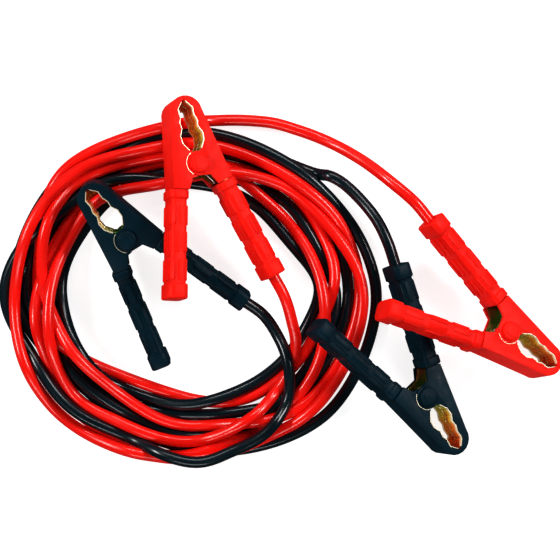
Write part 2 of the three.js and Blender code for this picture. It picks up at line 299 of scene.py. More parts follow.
def plated_metal(name, stops, roughness):
    """Zinc plate with a coloured film: the colour follows the height along the jaw, broken up by noise."""
    material, tree, shader = new_material(name, Metallic=0.45)
    local = node(tree, "ShaderNodeAttribute", attribute_name="clamp_place")
    axes = node(tree, "ShaderNodeSeparateXYZ", {"Vector": local.outputs["Vector"]})
    along = node(tree, "ShaderNodeMapRange", {"Value": axes.outputs["Y"], "From Min": -0.02, "From Max": 0.066})
    cloud = node(tree, "ShaderNodeTexNoise", {"Vector": local.outputs["Vector"], "Scale": 90.0, "Detail": 2.0})
    spread = node(tree, "ShaderNodeMapRange", {"Value": cloud.outputs["Fac"], "To Min": -0.22, "To Max": 0.22})
    total = node(tree, "ShaderNodeMath", {0: along.outputs["Result"], 1: spread.outputs["Result"]}, operation="ADD")
    tree.links.new(colour_ramp(tree, total.outputs["Value"], stops), shader.inputs["Base Color"])
    gloss = node(tree, "ShaderNodeMapRange", {"Value": cloud.outputs["Fac"], "To Min": roughness - 0.06,
                                              "To Max": roughness + 0.06})
    tree.links.new(gloss.outputs["Result"], shader.inputs["Roughness"])
    return material


def plain_metal(name, colour, roughness, metallic=1.0):
    material, tree, shader = new_material(name, Metallic=metallic, Base_Color=(*colour, 1))
    place = node(tree, "ShaderNodeTexCoord").outputs["Object"]
    cloud = node(tree, "ShaderNodeTexNoise", {"Vector": place, "Scale": 300.0, "Detail": 3.0})
    gloss = node(tree, "ShaderNodeMapRange", {"Value": cloud.outputs["Fac"], "To Min": roughness - 0.08,
                                              "To Max": roughness + 0.08})
    tree.links.new(gloss.outputs["Result"], shader.inputs["Roughness"])
    return material


FILM = [(0.0, (0.45, 0.16, 0.05)), (0.2, (0.12, 0.36, 0.05)), (0.4, (0.14, 0.42, 0.05)), (0.55, (0.95, 0.75, 0.1)),
        (0.75, (1.0, 0.4, 0.05)), (1.0, (0.6, 0.06, 0.02))]

PLASTIC = {
    "red": moulded_plastic("red_plastic", (0.88, 0.009, 0.003), (0.98, 0.015, 0.006), 0.4, 0.55),
    "black": moulded_plastic("black_plastic", (0.0006, 0.013, 0.022), (0.001, 0.02, 0.033), 0.38, 0.54),
}
SHEATH = {
    "red": soft_sheath("red_cable", (0.86, 0.007, 0.003), (0.97, 0.012, 0.005)),
    "black": soft_sheath("black_cable", (0.0005, 0.006, 0.01), (0.001, 0.012, 0.018)),
}
ZINC = plated_metal("jaw_metal", FILM, 0.26)
# Pale bright colour for the bands along the metal's edges and for the ribs: a painted highlight, not a colour of
# the metal
RIM_HIGHLIGHT_PAINT = plain_metal("jaw_rim", (1.0, 0.9, 0.66), 0.3, 0.35)
STEEL = plain_metal("steel", (0.72, 0.73, 0.75), 0.3)

# %% [markdown]
# ## The route of each cable
#
# The outer end of a cable sits in the socket of a clamp. From there it runs through the tail points to the
# coil, goes round it and ends in the socket of the inner clamp. The turns come from one distance for every
# eighth of a turn. A centripetal Catmull-Rom curve passes through every point and never makes a loop
# between two of them.

# %% Route


def socket_points(name):
    """Where the cable enters its clamp: inside the socket, at its mouth, and straight out of it."""
    at = clamp_matrix(name)
    side = CLAMPS[name][2]
    end = GRIP_START + GRIP_LENGTH
    insides = (SOCKET_DEPTH - TOUCH_GAP, 0, -2 * CABLE_DIAMETER)
    return [np.array(at @ handle_point(side, end - inside, 0)) - np.array(COIL_MIDDLE) for inside in insides]


def turn_points(colour):
    start, distances = TURNS[colour]
    points = []
    for index, distance in enumerate(distances):
        angle = math.radians(start) + index * TURN_STEP
        points.append((distance * MM * math.cos(angle), COIL_OVALNESS * distance * MM * math.sin(angle),
                       TURN_HEIGHT))
    return points


def even_steps(points, step):
    """The same line with points at even distances, one step apart."""
    lengths = np.linalg.norm(np.diff(points, axis=0), axis=1)
    travelled = np.concatenate([[0], np.cumsum(lengths)])
    wanted = np.linspace(0, travelled[-1], round(travelled[-1] / step) + 1)
    return np.stack([np.interp(wanted, travelled, points[:, axis]) for axis in range(3)], axis=1)


def curve_through(points, step, fineness=24):
    """Centripetal Catmull-Rom curve through the points, in even steps."""
    points = np.array(points)
    points = np.vstack([2 * points[0] - points[1], points, 2 * points[-1] - points[-2]])
    result = []
    for index in range(1, len(points) - 2):
        near = points[index - 1:index + 3]
        knots = np.concatenate([[0], np.cumsum(np.sqrt(np.linalg.norm(np.diff(near, axis=0), axis=1)))])
        for share in range(fineness):
            at = knots[1] + (knots[2] - knots[1]) * share / fineness
            level = list(near)
            for reach in (1, 2, 3):
                for k in range(4 - reach):
                    low, high = knots[k], knots[k + reach]
                    if reach == 3:
                        low, high = knots[1], knots[2]
                    level[k] = ((high - at) * level[k] + (at - low) * level[k + 1]) / (high - low)
            result.append(level[0])
    result.append(points[-2])
    return even_steps(np.array(result), step)


# The ends of a route, in steps, where the last tail point and the first one of the other end are looked for
OUTER_END, INNER_END = 120, 60

routes = {}
pinned = {}
for colour in ("red", "black"):
    outer, inner = colour + "_outer", colour + "_inner"
    start = socket_points(outer) + TAILS[outer]
    finish = (socket_points(inner) + TAILS[inner])[::-1]
    routes[colour] = curve_through(start + turn_points(colour) + ENTRIES[colour] + finish, CABLE_STEP)
    apart_start = np.linalg.norm(routes[colour] - start[-1], axis=1)
    apart_finish = np.linalg.norm(routes[colour] - finish[0], axis=1)
    pinned[colour] = (int(apart_start[:OUTER_END].argmin()),
                      len(apart_finish) - INNER_END + int(apart_finish[-INNER_END:].argmin()))
    length = CABLE_STEP * (len(routes[colour]) - 1)
    print(colour, "cable:", len(routes[colour]), "points, about", round(length, 3), "m")

# %% [markdown]
# ## The cables settle
#
# The trace says where a cable lies, not how high. First the cables are laid down point by point, each on
# top of what already lies there. Then a relaxation repeats four small moves: every point sinks a little,
# stretches that touch are pushed one diameter apart, floor and clamps hold the cable in, and the whole line
# is bent back to a smooth curve, because such a cable is stiff. Where two stretches cross, the one laid
# later stays on top. A crowded place gives way inwards and upwards, so the outline of the coil stays as
# traced. The last steps only push apart and smooth.

# %% Settling
LAY_STEPS = 340
EASE_STEPS = 90
SINK = 0.12 * MM
HOME_PULL = 0.006
OUTWARD_LIMIT = 1 * MM
STIFFNESS = 2.0
OVERDRIVE = 1.4
CROSSING_COSINE = math.cos(math.radians(25))
SIDE_BY_SIDE = 0.7 * CABLE_DIAMETER
RISE = 0.7 * CABLE_DIAMETER
PAIR_REACH = 1.5 * CABLE_DIAMETER
PAIR_STEPS = 10
OWN_REACH = 9
RED_LATER = 0.5
BLACK_LAST = 0.935
PIN_BLEND = 14
MAP_REACH = 0.42
CELL = 3 * MM

colours = ("red", "black")
counts = [len(routes[colour]) for colour in colours]
home = np.concatenate([routes[colour] for colour in colours])
owner = np.repeat([0, 1], counts)
order = np.concatenate([np.arange(count) for count in counts])
share_along = np.concatenate([np.arange(count) / count for count in counts])

# The stretch that was laid later lies on top: red turns follow black ones, but the last of black is above all
laid_when = share_along + RED_LATER * (owner == 0)
laid_when[(owner == 1) & (share_along > BLACK_LAST)] += 1

# 0 where a point is held by a clamp or by its tail, 1 where it is free
freedom = np.ones(len(home))
for which, colour in enumerate(colours):
    start, finish = pinned[colour]
    share = np.interp(np.arange(counts[which]),
                      [start, start + PIN_BLEND, finish - PIN_BLEND, finish], [0, 1, 1, 0])
    freedom[owner == which] = share


def clamp_ceiling(cell, reach):
    """How high the lowest face of a clamp is above each cell of the floor, as a cable of some width meets it."""
    points, faces = [], []
    for name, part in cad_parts.items():
        if "cable_tail" in name or "cable_coil" in name:
            continue
        base = len(points)
        points += [v.co - COIL_MIDDLE for v in part.data.vertices]
        faces += [[base + i for i in polygon.vertices] for polygon in part.data.polygons]
    tree = BVHTree.FromPolygons(points, faces)
    half = int(MAP_REACH / cell)
    grid = np.full((2 * half, 2 * half), 1.0)
    for i in range(2 * half):
        for j in range(2 * half):
            hit = tree.ray_cast(Vector(((i - half) * cell, (j - half) * cell, -0.01)), Vector((0, 0, 1)))[0]
            if hit is not None:
                grid[i, j] = hit.z
    wide = grid.copy()
    steps = int(reach / cell)
    for di in range(-steps, steps + 1):
        for dj in range(-steps, steps + 1):
            if di * di + dj * dj <= steps * steps:
                wide = np.minimum(wide, np.roll(grid, (di, dj), axis=(0, 1)))
    return wide, half


ceiling_grid, ceiling_half = clamp_ceiling(CELL, CABLE_DIAMETER / 2)


def ceiling_over(points):
    cells = np.clip(np.round(points[:, :2] / CELL).astype(int) + ceiling_half, 0, 2 * ceiling_half - 1)
    under = ceiling_grid[cells[:, 0], cells[:, 1]] - CABLE_DIAMETER / 2 - TOUCH_GAP
    return np.maximum(under, CABLE_DIAMETER / 2)


def laid_heights():
    """Height of each point when both cables are laid at once, each point resting on what lies there."""
    heights = np.where(freedom < 1, home[:, 2], CABLE_DIAMETER / 2)
    laid = freedom == 0
    for k in np.argsort(laid_when):
        others = laid & ((owner != owner[k]) | (abs(order - order[k]) > OWN_REACH))
        apart = np.hypot(*(home[others, :2] - home[k, :2]).T)
        near = apart < SIDE_BY_SIDE
        if near.any() and freedom[k] == 1:
            heights[k] = (heights[others][near] + RISE).max()
        laid[k] = True
    return heights


def touching_pairs(place):
    flat = place[:, :2].astype(np.float32)
    square = (flat ** 2).sum(axis=1)
    apart = square[:, None] + square[None, :] - 2 * flat @ flat.T
    near = apart < PAIR_REACH ** 2
    near &= (owner[:, None] != owner[None, :]) | (abs(order[:, None] - order[None, :]) > OWN_REACH)
    return np.nonzero(np.triu(near, 1))


def bending_filter(count, stiffness):
    """Matrix that bends a line of that many values back to a smooth one, as a stiff strip would."""
    second_difference = np.diff(np.eye(count), n=2, axis=0)
    return np.linalg.inv(np.eye(count) + stiffness * second_difference.T @ second_difference)


def push_apart(place, first, second):
    """How far each point has to move so that touching stretches lie one diameter apart."""
    ahead = np.concatenate([np.gradient(place[owner == which], axis=0) for which in (0, 1)])
    ahead /= np.linalg.norm(ahead, axis=1)[:, None]
    gap = place[first] - place[second]
    flat = np.hypot(gap[:, 0], gap[:, 1])
    above = np.where(laid_when[first] > laid_when[second], 1.0, -1.0)
    height = above * gap[:, 2]
    crossing = abs((ahead[first] * ahead[second]).sum(axis=1)) < CROSSING_COSINE
    upward = (crossing & (flat < CABLE_DIAMETER)) | ((height < 0) & (flat < SIDE_BY_SIDE))
    lift = np.clip(np.sqrt(np.clip(CABLE_DIAMETER ** 2 - flat ** 2, 0, None)) - height, 0, None)
    distance = np.linalg.norm(gap, axis=1)
    overlap = np.clip(CABLE_DIAMETER - distance, 0, None) / distance
    wanted = np.where(upward[:, None], np.outer(above * lift, (0, 0, 1)), gap * overlap[:, None])
    weight = np.maximum(freedom[first] + freedom[second], 1e-6)
    touching = np.abs(wanted).sum(axis=1) > 0
    touches = np.bincount(first, touching, len(place)) + np.bincount(second, touching, len(place))
    move = np.empty_like(place)
    for axis in range(3):
        share = wanted[:, axis] / weight
        move[:, axis] = np.bincount(first, share * freedom[first], len(place))
        move[:, axis] -= np.bincount(second, share * freedom[second], len(place))
    return OVERDRIVE * move / np.maximum(touches, 1)[:, None]


filters = [bending_filter(count, STIFFNESS) for count in counts]
widest = np.hypot(*home[:, :2].T) + OUTWARD_LIMIT
place = home.copy()
place[:, 2] = laid_heights()
for step in range(LAY_STEPS):
    if step % PAIR_STEPS == 0:
        first, second = touching_pairs(place)
    place = place + push_apart(place, first, second)
    if step < LAY_STEPS - EASE_STEPS:
        place[:, 2] -= SINK * freedom
        place[:, :2] += HOME_PULL * (home - place)[:, :2]
    shift = place - home
    for which in (0, 1):
        shift[owner == which] = filters[which] @ shift[owner == which]
    place = home + freedom[:, None] * shift
    place[:, :2] *= np.minimum(1, widest / np.hypot(*place[:, :2].T))[:, None]
    place[:, 2] = np.where(freedom > 0, np.clip(place[:, 2], CABLE_DIAMETER / 2, ceiling_over(place)), place[:, 2])

gap = np.linalg.norm(place[first] - place[second], axis=1)
highest = place[freedom == 1, 2].max() + CABLE_DIAMETER / 2
print("closest centre lines", round(float(gap.min()) / MM, 1), "mm, top of the coil",
      round(float(highest) / MM, 1))
print("moved sideways at most", round(float(np.hypot(*(place - home)[:, :2].T).max()) / MM, 1), "mm")
print("points with a neighbour closer than 11 and 10 mm:", int((gap < 11 * MM).sum()), int((gap < 10 * MM).sum()))

# %% [markdown]
# ## The cables as tubes
#
# A ring of points is set square to the route at every step. The ring may not spin about the cable from one
# step to the next, so each ring's up direction is the last one, made square to the new direction. The map
# keeps the length along the cable in U, which lets the sheath's pattern run with it.

# %% Tubes


def tube(points, radius, sides):
    """Points and faces of a tube round a line, with flat ends."""
    ahead = np.gradient(points, axis=0)
    ahead /= np.linalg.norm(ahead, axis=1)[:, None]
    up = np.array([0.0, 0.0, 1.0]) if abs(ahead[0][2]) < 0.9 else np.array([1.0, 0.0, 0.0])
    angles = 2 * math.pi * np.arange(sides) / sides
    rings = []
    for middle, direction in zip(points, ahead):
        up = up - direction * (up @ direction)
        up /= np.linalg.norm(up)
        aside = np.cross(direction, up)
        rings.append(middle + radius * (np.cos(angles)[:, None] * up + np.sin(angles)[:, None] * aside))
    faces = []
    for ring in range(len(points) - 1):
        for side in range(sides):
            after = (side + 1) % sides
            a, b = ring * sides, (ring + 1) * sides
            faces.append([a + side, a + after, b + after, b + side])
    last = (len(points) - 1) * sides
    faces.append(list(range(sides))[::-1])
    faces.append([last + side for side in range(sides)])
    return np.concatenate(rings), faces


def add_length_map(made, sides, step):
    chart = made.data.uv_layers.new(name="along")
    for polygon in made.data.polygons:
        rings = [v // sides for v in polygon.vertices]
        turned = [v % sides for v in polygon.vertices]
        across = max(turned) - min(turned) > sides / 2
        for corner, ring, side in zip(polygon.loop_indices, rings, turned):
            if across and side == 0 and len(rings) == 4:
                side = sides
            chart.data[corner].uv = (ring * step, side / sides)


cables = {}
for which, colour in enumerate(colours):
    line = even_steps(place[owner == which] + np.array(COIL_MIDDLE), CABLE_STEP)
    points, faces = tube(line, CABLE_DIAMETER / 2, CABLE_SIDES)
    cable = mesh_object(colour + "_cable", points, faces, SHEATH[colour])
    tidy_faces(cable.data)
    add_length_map(cable, CABLE_SIDES, CABLE_STEP)
    smooth(cable.data, 60)
    placed_on(cable, ROOT, colour + "_cable", colour + "_cable_coil", colour + "_inner_cable_tail",
              colour + "_outer_cable_tail")
    cables[colour] = cable
    length = np.linalg.norm(np.diff(line, axis=0), axis=1).sum()
    print(colour, "cable is", round(float(length), 3), "m long, faces", len(cable.data.polygons))

# %% [markdown]
# ## Covers and jaws
#
# The covers and the folded jaws already have their true outline in CAD, so a copy of each solid is enough.
# CAD meshes are loose triangles: the copy's points are welded and its flat triangles merged first, and then
# a bevel rounds the edges as a mould or a press would. The jaw also stores where each point lies in the
# clamp's own frame.

# %% Covers and jaws


def dressed_copy(part, name, material, bevel, segments):
    made = bpy.data.objects.new(name, part.data.copy())
    bpy.context.scene.collection.objects.link(made)
    made.data.materials.clear()
    made.data.materials.append(material)
    tidy_faces(made.data, weld=2e-6, flat_angle=math.radians(0.6))
    rounding = made.modifiers.new("edges", "BEVEL")
    rounding.width = bevel
    rounding.segments = segments
    rounding.limit_method = "ANGLE"
    rounding.angle_limit = math.radians(28)
    baked(made)
    smooth(made.data)
    return made


def store_clamp_place(mesh, at):
    """Each point's place in the clamp's own frame, for the material."""
    back = at.inverted()
    stored = mesh.attributes.new("clamp_place", "FLOAT_VECTOR", "POINT")
    for vertex, entry in zip(mesh.vertices, stored.data):
        entry.vector = back @ vertex.co


for name in CLAMPS:
    colour = name.split("_")[0]
    at = clamp_matrix(name)
    for half, side, body, metal in halves(name):
        cad = name + "_" + half
        cover = dressed_copy(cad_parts[cad + "_cover"], cad + "_moulded_cover", PLASTIC[colour], 0.9 * MM, 3)
        placed_on(cover, body, colour + "_plastic", cad + "_cover")
        jaw = dressed_copy(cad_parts[cad + "_jaw"], cad + "_folded_jaw", ZINC, 0.3 * MM, 2)
        store_clamp_place(jaw.data, at)
        placed_on(jaw, body, "jaw_metal", cad + "_jaw")
    print(name, "covers and jaws done")

# %% [markdown]
# ## Grip sleeves
#
# A sleeve is lofted: one rounded rectangle, repeated down the handle with a little growth or shrinkage. The
# list of stations is the sleeve's profile, with a collar at the top, a neck below it and a boot at the end.
# The sleeve that holds the cable gets a round hole, because its last ring runs into a circle.

# %% Grips
CORNER_POINTS = 7
# Distance down the sleeve, then growth of its section, in millimetres. Between the pads the sleeve is slimmer than
# the CAD solid, so that the pads end at the solid's surface.
PROFILE = [(0.3, 0.4), (0.9, 1.6), (1.8, 2), (7.8, 2), (8.7, 1.5), (9.2, -1), (10.5, -1.9), (14, -1.8),
           (16.5, -1.4), (60, -1.4), (93.5, -1.4), (94.7, -0.8), (95.3, 2.2), (96.2, 3), (108.4, 3), (109.5, 2.3),
           (110, 0.8)]
SLEEVE_SLIMNESS = -1.4 * MM
HOLE_DEPTH = 12 * MM


def section_ring(growth, side, down):
    """A rounded rectangle across the handle, as points in the clamp's own frame."""
    width, thickness = GRIP_WIDTH + growth, GRIP_THICKNESS + growth
    rounding = GRIP_ROUNDING + growth / 2
    ring = []
    for sx, sz, start in ((1, 1, 0), (-1, 1, 90), (-1, -1, 180), (1, -1, 270)):
        for step in range(CORNER_POINTS):
            angle = math.radians(start + 90 * step / (CORNER_POINTS - 1))
            out = sx * (width / 2 - rounding) + rounding * math.cos(angle)
            height = sz * (thickness / 2 - rounding) + rounding * math.sin(angle)
            ring.append(handle_point(side, GRIP_START + down, out, height))
    return ring


def circle_ring(radius, side, down, like):
    """A circle across the handle whose points look the same way as those of another ring."""
    middle = handle_point(side, GRIP_START + down, 0)
    flat = [point - handle_point(side, GRIP_START + GRIP_LENGTH, 0) for point in like]
    return [middle + radius * direction.normalized() for direction in flat]


def loft(rings, closed_start, closed_end):
    count = len(rings[0])
    points = [point for ring in rings for point in ring]
    faces = []
    for index in range(len(rings) - 1):
        a, b = index * count, (index + 1) * count
        for k in range(count):
            after = (k + 1) % count
            faces.append([a + k, a + after, b + after, b + k])
    if closed_start:
        faces.append(list(range(count)))
    if closed_end:
        faces.append([len(points) - count + k for k in range(count)])
    return points, faces


def grip_sleeve(name, at, side, material, holds_cable):
    rings = [section_ring(growth * MM, side, down * MM) for down, growth in PROFILE]
    if holds_cable:
        hole = CABLE_DIAMETER / 2 + SOCKET_GAP
        rings.append(circle_ring(hole + 0.8 * MM, side, GRIP_LENGTH, rings[-1]))
        rings.append(circle_ring(hole, side, GRIP_LENGTH - 0.7 * MM, rings[-3]))
        rings.append(circle_ring(hole, side, GRIP_LENGTH - HOLE_DEPTH, rings[-4]))
    points, faces = loft(rings, True, True)
    made = mesh_object(name, [at @ point for point in points], faces, material)
    tidy_faces(made.data)
    return made


# %% [markdown]
# ## A tree for rows of pads and teeth
#
# Pads on a grip and teeth on a jaw are the same job: one small shape, repeated along a line and turned so
# that it stands on the surface. The tree takes the line as its geometry and has the shape, the count and
# the direction across the line as inputs. The surface's direction is square to the line and to that
# direction.

# %% Row tree


def new_geometry_tree(name, inputs):
    tree = bpy.data.node_groups.new(name, "GeometryNodeTree")
    tree.interface.new_socket("Geometry", in_out="INPUT", socket_type="NodeSocketGeometry")
    for label, kind in inputs:
        tree.interface.new_socket(label, in_out="INPUT", socket_type=kind)
    tree.interface.new_socket("Geometry", in_out="OUTPUT", socket_type="NodeSocketGeometry")
    return tree, tree.nodes.new("NodeGroupInput").outputs


def end_tree(tree, geometry, material):
    """Every tree ends with real geometry that has its material."""
    real = node(tree, "GeometryNodeRealizeInstances", {"Geometry": geometry})
    painted = node(tree, "GeometryNodeSetMaterial", {"Geometry": real.outputs["Geometry"], "Material": material})
    node(tree, "NodeGroupOutput", {"Geometry": painted.outputs["Geometry"]})
    return tree


def row_tree():
    tree, given = new_geometry_tree("row_on_line", [
        ("Shape", "NodeSocketObject"), ("Count", "NodeSocketInt"), ("Across", "NodeSocketVector"),
        ("Material", "NodeSocketMaterial")])
    line = node(tree, "GeometryNodeMeshToCurve", {"Mesh": given["Geometry"]})
    spots = node(tree, "GeometryNodeCurveToPoints", {"Curve": line.outputs["Curve"], "Count": given["Count"]},
                 mode="COUNT")
    outward = node(tree, "ShaderNodeVectorMath", {0: spots.outputs["Tangent"], 1: given["Across"]},
                   operation="CROSS_PRODUCT")
    stood = node(tree, "FunctionNodeAlignRotationToVector", {"Vector": outward.outputs["Vector"]}, axis="Z")
    turned = node(tree, "FunctionNodeAlignRotationToVector", {"Rotation": stood.outputs["Rotation"],
                                                              "Vector": given["Across"]}, axis="Y", pivot_axis="Z")
    shape = node(tree, "GeometryNodeObjectInfo", {"Object": given["Shape"]})
    row = node(tree, "GeometryNodeInstanceOnPoints", {"Points": spots.outputs["Points"],
                                                      "Instance": shape.outputs["Geometry"],
                                                      "Rotation": turned.outputs["Rotation"]})
    return end_tree(tree, row.outputs["Instances"], given["Material"])


ROW_TREE = row_tree()


def with_tree(made, tree, values):
    """Gives the object a Geometry Nodes modifier with these inputs, and turns the result into its mesh."""
    modifier = made.modifiers.new(tree.name, "NODES")
    modifier.node_group = tree
    for item in tree.interface.items_tree:
        if item.item_type == "SOCKET" and item.in_out == "INPUT" and item.name in values:
            modifier[item.identifier] = values[item.name]
    return baked(made)


def line_object(name, lines, closed):
    """Each line as a row of edges, closed or open."""
    points, edges = [], []
    for line in lines:
        base = len(points)
        points += [tuple(point) for point in line]
        count = len(line)
        edges += [(base + k, base + (k + 1) % count) for k in range(count if closed else count - 1)]
    mesh = bpy.data.meshes.new(name)
    mesh.from_pydata(points, edges, [])
    made = bpy.data.objects.new(name, mesh)
    bpy.context.scene.collection.objects.link(made)
    return made


def joined(target, *others):
    """Adds other objects' meshes to the first one and removes them."""
    work = bmesh.new()
    work.from_mesh(target.data)
    for other in others:
        work.from_mesh(other.data)
        bpy.data.objects.remove(other)
    work.to_mesh(target.data)
    work.free()
    return target


# %% [markdown]
# ## Pads on the grips
#
# Three rows of long rounded pads ring each sleeve, and the middle row sits half a step further round. One
# pad is a stack of stadium outlines that shrink towards the top, so its edges are soft. Its lowest outline
# lies deep enough to stay inside the sleeve where the pad crosses a rounded corner.

# %% Pads
PAD_WIDTH = 5 * MM
PAD_PROUD = 0.95 * MM
PAD_DEPTH = 0.9 * MM
PADS_ROUND = 10
# Where each row begins and ends down the sleeve, in millimetres, and its shift round the sleeve in pads
PAD_ROWS = [(16, 36, 0.0), (42, 64, 0.5), (70, 92, 0.0)]
# Height as a share of the pad, then how far the outline is drawn in there, in millimetres
PAD_LEVELS = [(0.6, 0), (0.9, 0.12), (1.0, 0.4)]


def stadium(width, length, height, corner=7):
    """Outline of a long pad with round ends, along Y."""
    radius = width / 2
    points = []
    for end, start in ((1, 0), (-1, 180)):
        for step in range(corner):
            angle = math.radians(start + 180 * step / (corner - 1))
            points.append(Vector((radius * math.cos(angle), end * (length / 2 - radius) + radius * math.sin(angle),
                                  height)))
    return points


def pad_shape(length):
    rings = [stadium(PAD_WIDTH, length, -PAD_DEPTH)]
    for share, inset in PAD_LEVELS:
        rings.append(stadium(PAD_WIDTH - 2 * inset * MM, length - 2 * inset * MM, share * PAD_PROUD))
    points, faces = loft(rings, True, True)
    made = mesh_object("pad_shape", points, faces, STEEL)
    tidy_faces(made.data)
    smooth(made.data, 50)
    return made


def evenly_round(ring, count, shift):
    """The closed ring again with even steps, beginning a share of one step further round."""
    closed = np.array([*ring, ring[0]])
    lengths = np.linalg.norm(np.diff(closed, axis=0), axis=1)
    travelled = np.concatenate([[0], np.cumsum(lengths)])
    wanted = (np.arange(count) + shift) * travelled[-1] / count
    return [Vector([np.interp(at, travelled, closed[:, axis]) for axis in range(3)]) for at in wanted]


RING_FINENESS = 12


def grip_pads(at, side, material):
    """All pads of one sleeve as one object."""
    rows = []
    direction = (handle_point(side, 1, 0) - handle_point(side, 0, 0)).normalized()
    across = (at.to_3x3() @ direction).normalized() * side
    for start, end, shift in PAD_ROWS:
        ring = section_ring(SLEEVE_SLIMNESS, side, (start + end) / 2 * MM)
        fine = evenly_round(ring, PADS_ROUND * RING_FINENESS, (shift + 0.5) * RING_FINENESS)
        line = line_object("pad_row", [[at @ point for point in fine]], True)
        shape = pad_shape((end - start) * MM)
        rows.append(with_tree(line, ROW_TREE, {"Shape": shape, "Count": PADS_ROUND, "Across": tuple(across),
                                               "Material": material}))
        bpy.data.objects.remove(shape)
    return joined(rows[0], *rows[1:])


for name in CLAMPS:
    colour = name.split("_")[0]
    at = clamp_matrix(name)
    for half, side, body, metal in halves(name):
        cad = name + "_" + half
        sleeve = grip_sleeve(cad + "_grip_sleeve", at, side, PLASTIC[colour], half == "cable")
        pads = grip_pads(at, side, PLASTIC[colour])
        joined(sleeve, pads)
        smooth(sleeve.data, 40)
        placed_on(sleeve, body, colour + "_plastic", cad + "_grip")
    print(name, "grips have", len(sleeve.data.polygons), "faces each")

# %% [markdown]
# ## Teeth in the jaws
#
# Each gripping wall is pressed into fine teeth from its belly to the tip. A tooth is a ridge across the
# wall, and the same tree sets a row of them along the scalloped edge. The ridges stay inside the jaw's own
# half, so the teeth of the two halves do not cross when the clamp is shut.

# %% Teeth
TOOTH_PITCH = 2.1 * MM
TOOTH_WIDTH = 0.8 * TOOTH_PITCH
TOOTH_HEIGHT = 0.7 * MM
TEETH_FROM, TEETH_TO = 24 * MM, 63 * MM


def ridge(width, height, length):
    """A three-sided ridge that stands up along Z and lies along Y."""
    points = []
    for y in (-length / 2, length / 2):
        points += [Vector((x * width / 2, y, -height / 2)) for x in (-1, 1)] + [Vector((0, y, height))]
    faces = [[0, 1, 2], [3, 5, 4], [0, 3, 4, 1], [1, 4, 5, 2], [2, 5, 3, 0]]
    made = mesh_object("ridge", points, faces, STEEL)
    tidy_faces(made.data)
    return made


def scallop_line(side, low, high):
    """The part of the metal's scalloped edge between two heights, in even small steps."""
    edge = np.array([(max(x * MM - METAL_LIP, TOUCH_GAP), TIP_REACH - below * MM, 0) for x, below in JAW_EDGE])
    fine = even_steps(edge, 0.5 * MM)
    kept = fine[(fine[:, 1] > low) & (fine[:, 1] < high)]
    return [Vector((side * x, y, 0)) for x, y, _ in kept]


for name in CLAMPS:
    at = clamp_matrix(name)
    for half, side, body, metal in halves(name):
        line = scallop_line(side, TEETH_FROM, TEETH_TO)
        length = sum((a - b).length for a, b in zip(line, line[1:]))
        shape = ridge(TOOTH_WIDTH, TOOTH_HEIGHT, 2 * (metal - METAL_THICKNESS))
        across = (at.to_3x3() @ Vector((0, 0, 1))).normalized() * side
        teeth = with_tree(line_object(name + "_" + half + "_teeth", [[at @ point for point in line]], False),
                          ROW_TREE, {"Shape": shape, "Count": round(length / TOOTH_PITCH), "Across": tuple(across),
                                     "Material": ZINC})
        bpy.data.objects.remove(shape)
        store_clamp_place(teeth.data, at)
        placed_on(teeth, body, "jaw_metal")
print("each jaw has", round(length / TOOTH_PITCH), "teeth")

# %% [markdown]
# ## Painted highlights on the metal's edges and ribs, and tip plates
#
# Along the metal's edge round the opening of the jaws, level with the cover, a thin band is painted a pale bright
# colour: a painted highlight where the edge catches the light. On the free half the band goes on round the pivot,
# in the gap between the two covers. Inside the opening a rib runs along the middle of each wall, painted with the
# same highlight colour, and a small toothed plate with the jaw's film stands at the tip.

# %% Rims
RIM_WIDTH = 0.8 * MM
RIM_TOP = COVER_THICKNESS / 2 - 0.3 * MM
RIM_FROM, RIM_TO = 14.2 * MM, 64 * MM
RIM_FOOT = 0.2 * MM
# Degrees from and to, counted up from square to the clamp, and the two radii of the arc round the pivot
ARC_ANGLES = (66, -50)
ARC_RADII = (EAR_RADIUS + 0.15 * MM, EAR_RADIUS + RUNNING_GAP - 0.1 * MM)
ARC_POINTS = 24
RIB_RADIUS, RIB_SIDES = 0.45 * MM, 6
TIP_PLATE_LOW, TIP_PLATE_HIGH = -4 * MM, -2.8 * MM
# One tip plate for side 1, in millimetres: its back lies in the jaw's wall, its teeth point to the pivot
TIP_PLATE = [(0.5, 62), (3.6, 62.6), (8.2, 57), (7.6, 54.6), (6.5, 56.6), (5.3, 54.4), (4.2, 56.4), (3, 54.6),
             (2, 56.6), (1, 55.2), (0.5, 56.4)]


def upright_band(inner, outer, low, high):
    """A strip between two lines in the clamp's plane, from one height to another."""
    corners = ((0, low), (1, low), (1, high), (0, high))
    rings = [[Vector((pair[which].x, pair[which].y, height)) for which, height in corners]
             for pair in zip(inner, outer)]
    return loft(rings, True, True)


def pivot_arc(side, radius):
    angles = [math.radians(angle) for angle in np.linspace(*ARC_ANGLES, ARC_POINTS)]
    return [Vector((side * radius * math.cos(angle), radius * math.sin(angle), 0)) for angle in angles]


def tip_plate(side):
    rings = [[Vector((side * x * MM, y * MM, height)) for x, y in TIP_PLATE]
             for height in (TIP_PLATE_LOW, TIP_PLATE_HIGH)]
    return loft(rings, True, True)


